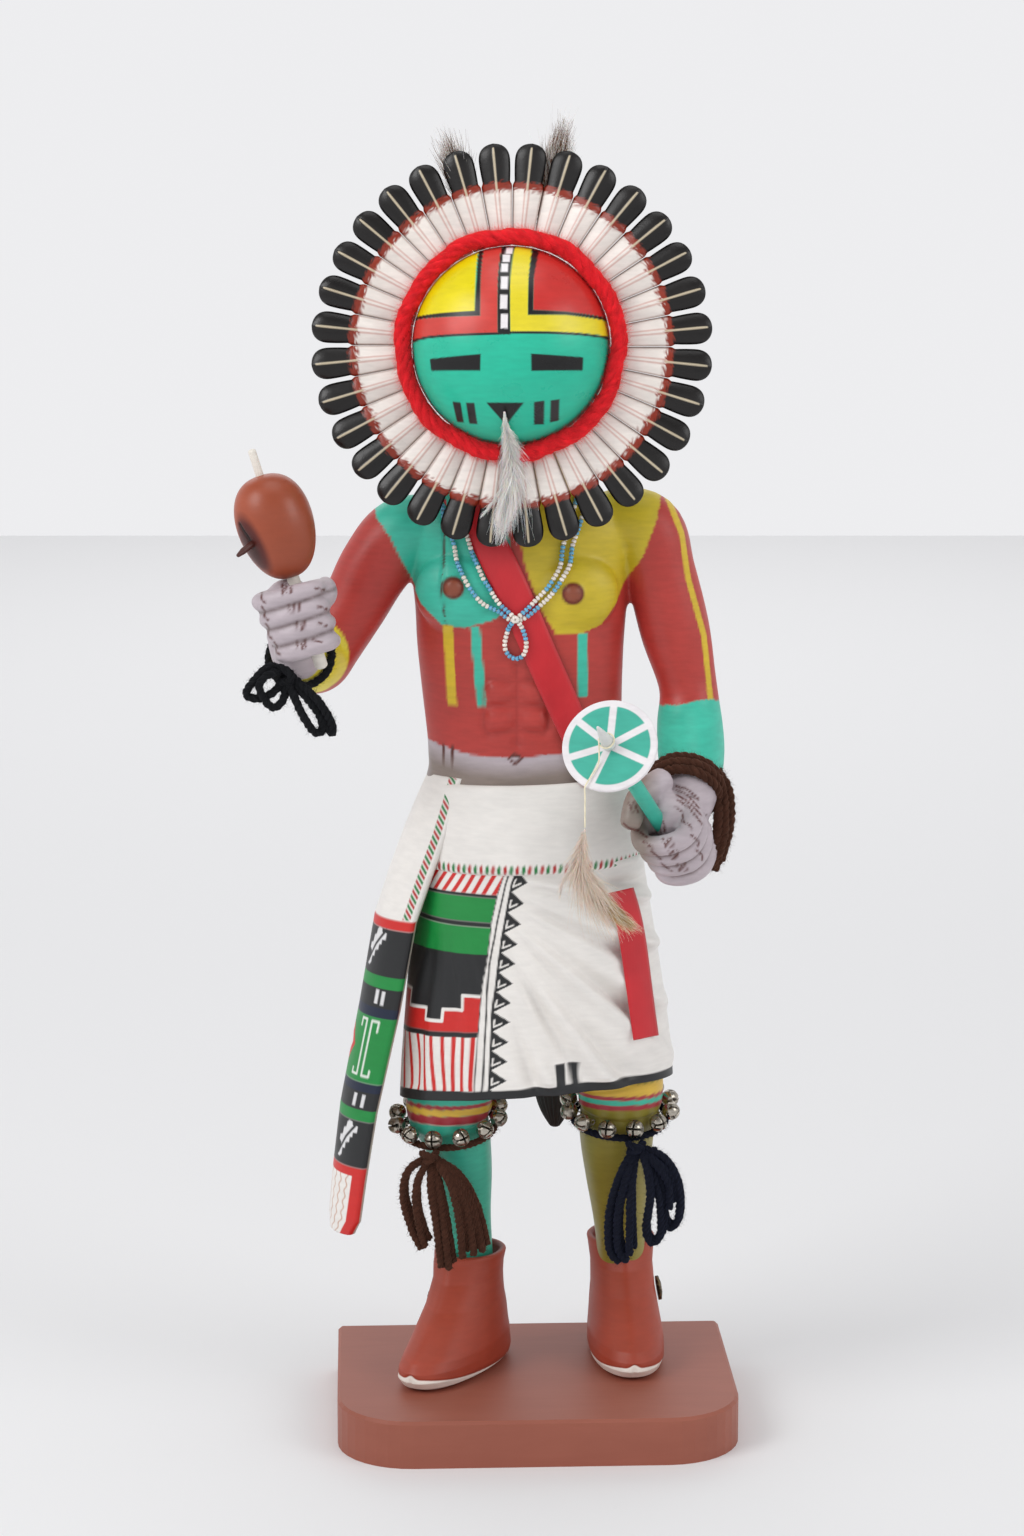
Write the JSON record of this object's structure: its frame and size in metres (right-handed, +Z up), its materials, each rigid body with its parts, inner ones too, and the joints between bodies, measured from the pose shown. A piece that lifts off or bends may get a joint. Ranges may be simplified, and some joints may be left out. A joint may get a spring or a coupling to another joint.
{
  "type": "kachina doll",
  "caption": "Carved and painted wooden kachina doll with a feather sunburst round its mask, a gourd rattle, a disc wand, a kilt and sash, on a wooden board.",
  "frame": {"origin": "centre of the board's underside", "axes": "+Z up; the doll faces -Y, its own right hand with the rattle is at -X"},
  "size_m": [0.1948, 0.1693, 0.5139],
  "materials": {
    "red_brown_board": "satin stain",
    "painted_figure": "satin paint",
    "painted_feathers": "satin paint",
    "red_wool": "fuzzy wool",
    "white_down": "down",
    "dark_feather": "feather",
    "seed_beads": "opaque glossy glass",
    "red_satin": "satin ribbon",
    "brown_gourd": "satin paint",
    "white_stick": "matt paint",
    "dark_peg": "satin",
    "teal_rod": "satin paint",
    "painted_disc": "satin paint",
    "white_cone": "satin paint",
    "cotton_string": "cotton",
    "beige_down": "down",
    "black_wool": "fuzzy wool",
    "brown_wrist_wool": "fuzzy wool",
    "brown_wool": "fuzzy wool",
    "navy_wool": "fuzzy wool",
    "nickel_bell": "worn nickel plate",
    "dark_bronze": "dark patina"
  },
  "bodies": {
    "root": {"base": "red_brown_board", "carved_figure": "painted_figure", "feather_halo": "painted_feathers", "face_yarn": "red_wool", "chin_feather": "white_down", "crest_feather_left": "dark_feather", "crest_feather_right": "dark_feather", "bead_necklace": "seed_beads", "ribbon_bandolier": "red_satin", "ribbon_tail_front": "red_satin", "ribbon_tail_rear": "red_satin", "rattle_gourd": "brown_gourd", "rattle_handle": "white_stick", "rattle_peg": "dark_peg", "wand_rod": "teal_rod", "wand_disc": "painted_disc", "wand_cone": "white_cone", "wand_string": "cotton_string", "wand_feather": "beige_down", "wrist_yarn_black": "black_wool", "wrist_yarn_brown": "brown_wrist_wool", "knee_yarn_brown": "brown_wool", "knee_yarn_navy": "navy_wool", "bell_right_01": "nickel_bell", "bell_right_02": "nickel_bell", "bell_right_03": "nickel_bell", "bell_right_04": "nickel_bell", "bell_right_05": "nickel_bell", "bell_right_06": "nickel_bell", "bell_right_07": "nickel_bell", "bell_right_08": "nickel_bell", "bell_right_09": "nickel_bell", "bell_right_10": "nickel_bell", "bell_right_11": "nickel_bell", "bell_right_12": "nickel_bell", "concho_right": "dark_bronze", "bell_left_01": "nickel_bell", "bell_left_02": "nickel_bell", "bell_left_03": "nickel_bell", "bell_left_04": "nickel_bell", "bell_left_05": "nickel_bell", "bell_left_06": "nickel_bell", "bell_left_07": "nickel_bell", "bell_left_08": "nickel_bell", "bell_left_09": "nickel_bell", "bell_left_10": "nickel_bell", "bell_left_11": "nickel_bell", "bell_left_12": "nickel_bell", "concho_left": "dark_bronze"}
  },
  "joints": []
}
